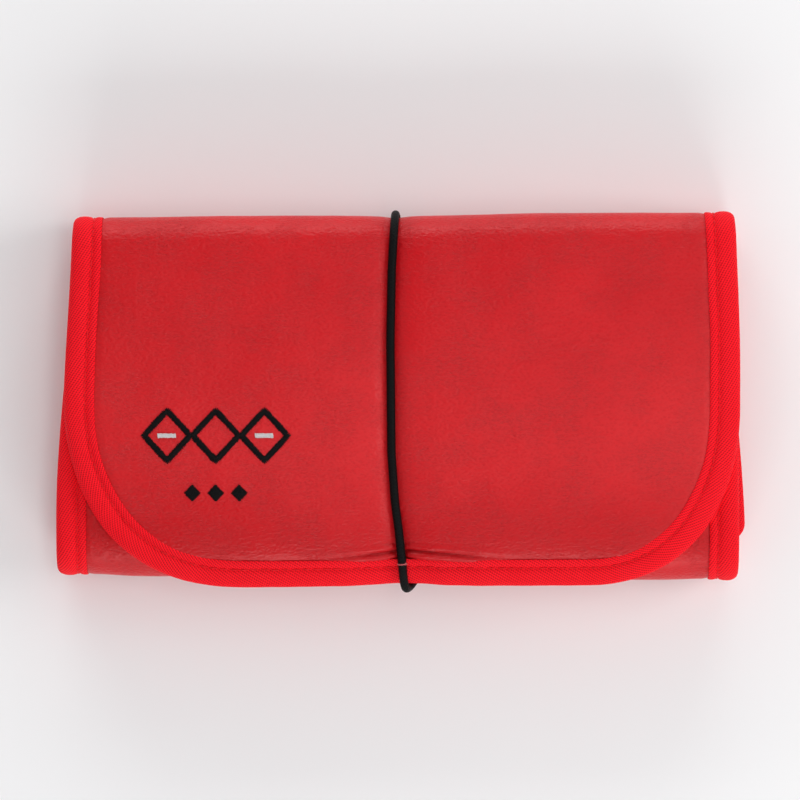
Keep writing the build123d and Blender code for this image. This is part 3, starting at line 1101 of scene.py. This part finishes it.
for name, key, closed_high in (
    ("back_pocket", "back", False),
    ("front_pocket", "front", True),
    ("inner_pocket", "inner", False),
):
    closed, mouth = pocket_ends(name, closed_high)
    low, high = node_box(name)
    ends = [position(runs[key], y) for y in (closed, mouth)]
    on = "back_panel" if key == "back" else "front_panel"
    pocket(name, key, *ends, (low[0] + high[0]) / 2, on)


# ---- embroidery
flap = runs["flap"]
DIAMOND = (15.0, 16.0)
SMALL_DIAMOND = 4.6
SMALL_STEP = 6.6
SMALL_DOWN = 16.0
SATIN = 1.75
SATIN_THREAD = 0.21
SATIN_ARCH = 0.24
THREAD_STEP = 0.32
draw = np.random.default_rng(17)
dark_low, dark_high = node_box("flap_motif_dark")
motif_x = (dark_low[0] + dark_high[0]) / 2
motif_y = dark_high[1] - DIAMOND[1] / 2
diamond_step = ((dark_high[0] - dark_low[0]) - DIAMOND[0]) / 2


def satin(points, width):
    """Threads laid side by side across a closed line on the flap, from start to end points."""
    loop = spaced(np.concatenate([points, points[:1]]), THREAD_STEP)[:-1]
    away = np.roll(loop, -3, 0) - np.roll(loop, 3, 0)
    away /= np.linalg.norm(away, axis=1)[:, None]
    across = np.stack([-away[:, 1], away[:, 0]], 1)
    half = (width / 2 + draw.normal(0, 0.07, (len(loop), 1))) * across
    lean = away * draw.normal(0.12, 0.05, (len(loop), 1))
    return loop - half - lean, loop + half + lean


starts, ends = [], []
for step in (-1, 0, 1):
    centre = np.array([motif_x + step * diamond_step, position(flap, motif_y)])
    half = (np.array(DIAMOND) - SATIN - 0.2) / 2
    diamond = centre + half * np.array([(-1, 0), (0, -1), (1, 0), (0, 1)])
    first, last = satin(diamond, SATIN)
    starts.append(first)
    ends.append(last)
    centre = np.array([motif_x + step * SMALL_STEP, position(flap, motif_y - SMALL_DOWN)])
    for down in np.arange(-SMALL_DIAMOND / 2 + 0.2, SMALL_DIAMOND / 2, THREAD_STEP):
        reach = SMALL_DIAMOND / 2 - abs(down) + 0.15
        jitter = draw.normal(0, 0.06, 2)
        starts.append(centre[None] + [[-reach + jitter[0], down]])
        ends.append(centre[None] + [[reach + jitter[1], down + 0.1]])
dark = threads(
    "motif_dark_satin", flap, np.concatenate(starts), np.concatenate(ends), SATIN_THREAD,
    SATIN_ARCH, flap_top, black_thread,
)
settle(dark, "flap", "thread_dark", "flap_motif_dark")
starts, ends = [], []
for step in (-1, 1):
    at = motif_x + step * diamond_step
    for off in np.arange(-DIAMOND[0] / 6, DIAMOND[0] / 6, THREAD_STEP):
        jitter = draw.normal(0, 0.06, 2)
        y = position(flap, motif_y)
        starts.append([at + off - 0.1, y - 0.65 + jitter[0]])
        ends.append([at + off + 0.1, y + 0.65 + jitter[1]])
light = threads(
    "motif_light_satin", flap, starts, ends, SATIN_THREAD, SATIN_ARCH, flap_top, white_thread
)
settle(light, "flap", "thread_light", "flap_motif_light")


# ---- elastic and its tack
STRAND_POINTS = 240
LOOP_POINTS = 700
LOOP_SOFT = 6
CORD_BITE = 0.12
BACK_CORD_DEPTH = 1.25


def flap_cord_depth(s):
    """Depth of the elastic's middle over the flap."""
    x = cord_x(s)
    surface = np.where(flap.length - s < TAPE + 1, -0.25, flap_top(x, s))
    return averaged(surface, 15) - CORD / 2 + CORD_BITE


s = np.linspace(0, flap.length - 1, STRAND_POINTS)
front_strand = flap.place(cord_x(s), s, flap_cord_depth(s))
# The elastic's turn round the hem, as (x, distance past the hem, depth).
round_hem = [(1.5, 0.2, -1.35), (2.0, 1.25, 0.3), (2.9, 1.5, 2.4), (3.9, 0.9, 4.6)]
turn = [flap.place(x, flap.length + past, depth) for x, past, depth in round_hem]
turn += [runs["front"].place(4.4, 5.0, -0.75), runs["front"].place(4.4, 2.5, -0.5)]
s = np.linspace(0, BACK_LENGTH, STRAND_POINTS)[::-1]
sunk = smooth(s / 20) * (1 - smooth((s - BACK_LENGTH + 20) / 20))
rest = FOLD_VALLEY - CORD / 2 + CORD_BITE
back_strand = runs["back"].place(back_cord_x(s), s, rest + (BACK_CORD_DEPTH - rest) * sunk)
loop = np.concatenate([front_strand, np.array(turn), back_strand[:-1]])
closed_loop = np.concatenate([loop, loop[:1]])
arc = distances(closed_loop)
at = np.linspace(0, arc[-1], LOOP_POINTS, endpoint=False)
loop = [averaged(np.interp(at, arc, closed_loop[:, k]), LOOP_SOFT, "wrap") for k in range(3)]
loop = np.stack(loop, 1)
cord = round_tube("elastic_loop", loop, CORD / 2, elastic, closed=True)
settle(cord, "elastic", "elastic", "elastic_cord")

tack_low, tack_high = node_box("elastic_tack")
tack_y = (tack_low[1] + tack_high[1]) / 2
front_part = np.nonzero(loop[:, 2] > THICK - 6)[0]
k = int(front_part[np.argmin(np.abs(loop[front_part, 1] - tack_y))])
centre = loop[k]
ahead = loop[k + 3] - loop[k - 3]
ahead /= np.linalg.norm(ahead)
across = np.cross(ahead, [1, 0, 0])
across = across if across[2] > 0 else -across
aside = np.cross(across, ahead)
aside = aside if aside[0] > 0 else -aside
THREAD = 0.13
LAP_POINTS = 26
LAP_HALF_ANGLE = 2.2
wrap = []
for lap in range(2):
    angle = np.linspace(-LAP_HALF_ANGLE, LAP_HALF_ANGLE, LAP_POINTS) * (1 if lap == 0 else -1)
    shift = -0.12 + 0.12 * lap + 0.1 * np.linspace(0, 1, LAP_POINTS)
    radius = CORD / 2 + 0.1
    wrap.append(
        centre + radius * (np.sin(angle)[:, None] * aside + np.cos(angle)[:, None] * across)
        + shift[:, None] * ahead
    )
wrap = np.concatenate(wrap)
tack = round_tube("tack_thread_laps", wrap, THREAD, pink_thread, 8, start_up=tuple(ahead))
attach(tack, "flap")
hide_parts("elastic_tack")
knot_at = centre + 1.0 * aside + 0.95 * across
phi = np.linspace(0, 4 * math.pi, 60)
knot = knot_at + 0.2 * (
    (np.sin(phi) + 0.6 * np.sin(2 * phi))[:, None] * aside
    + (np.cos(phi) - 0.6 * np.cos(2 * phi))[:, None] * ahead
    + (0.8 * np.sin(1.5 * phi))[:, None] * across
)
bead = round_tube("tack_knot", knot, 0.16, pink_thread, 8, start_up=tuple(across))
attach(bead, "flap")

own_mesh(cord)


# ---- floor, light, camera
AIM = Vector((0, 0, 0.02))


def area_light(name, place, size, power):
    """Rectangular light that looks at the case."""
    data = bpy.data.lights.new(name, "AREA")
    data.shape = "RECTANGLE"
    data.size, data.size_y = size
    data.energy = power
    light = bpy.data.objects.new(name, data)
    light.location = place
    light.rotation_euler = (AIM - Vector(place)).to_track_quat("-Z", "Y").to_euler()
    bpy.context.collection.objects.link(light)


FLOOR_HALF = 3000.0
FLOOR_LEVEL = -0.05
floor_plan = np.array([(-1, -1), (1, -1), (1, 1), (-1, 1)]) * FLOOR_HALF
floor_points = np.column_stack([floor_plan, np.full(4, FLOOR_LEVEL)])
ground = mesh_piece("floor", floor_points, [(0, 1, 2, 3)], floor_plan, floor)
area_light("key_light", (-0.1, 1.15, 0.46), (1.3, 0.5), 8.0)
area_light("front_light", (0.1, -1.0, 0.62), (0.9, 0.4), 6.5)
area_light("top_light", (0.35, 0.0, 2.6), (1.0, 0.4), 8.0)
area_light("side_light", (1.0, 0.1, 0.7), (0.6, 0.8), 5.0)
HORIZON = 0.88
ZENITH = 0.12
world = bpy.data.worlds.new("studio")
world.use_nodes = True
sky, link = world.node_tree.nodes, world.node_tree.links.new
way = sky.new("ShaderNodeTexCoord")
parted = sky.new("ShaderNodeSeparateXYZ")
height = sky.new("ShaderNodeMapRange")
link(way.outputs["Generated"], parted.inputs[0])
link(parted.outputs["Z"], height.inputs["Value"])
height.inputs["To Min"].default_value = HORIZON
height.inputs["To Max"].default_value = ZENITH
link(height.outputs[0], sky["Background"].inputs["Strength"])
sky["Background"].inputs["Color"].default_value = (0.96, 0.97, 1.0, 1)
bpy.context.scene.world = world
bpy.context.scene.view_settings.view_transform = "Standard"

CAMERA_HEIGHT = 2.0
VIEW_WIDTH = 0.2252
SENSOR = 36.0
camera_data = bpy.data.cameras.new("camera")
camera_data.sensor_width = SENSOR
camera_data.lens = SENSOR * (CAMERA_HEIGHT - THICK * MM) / VIEW_WIDTH
camera_data.clip_end = 20
camera = bpy.data.objects.new("camera", camera_data)
camera.location = (0, 0, CAMERA_HEIGHT)
bpy.context.collection.objects.link(camera)
bpy.context.scene.camera = camera
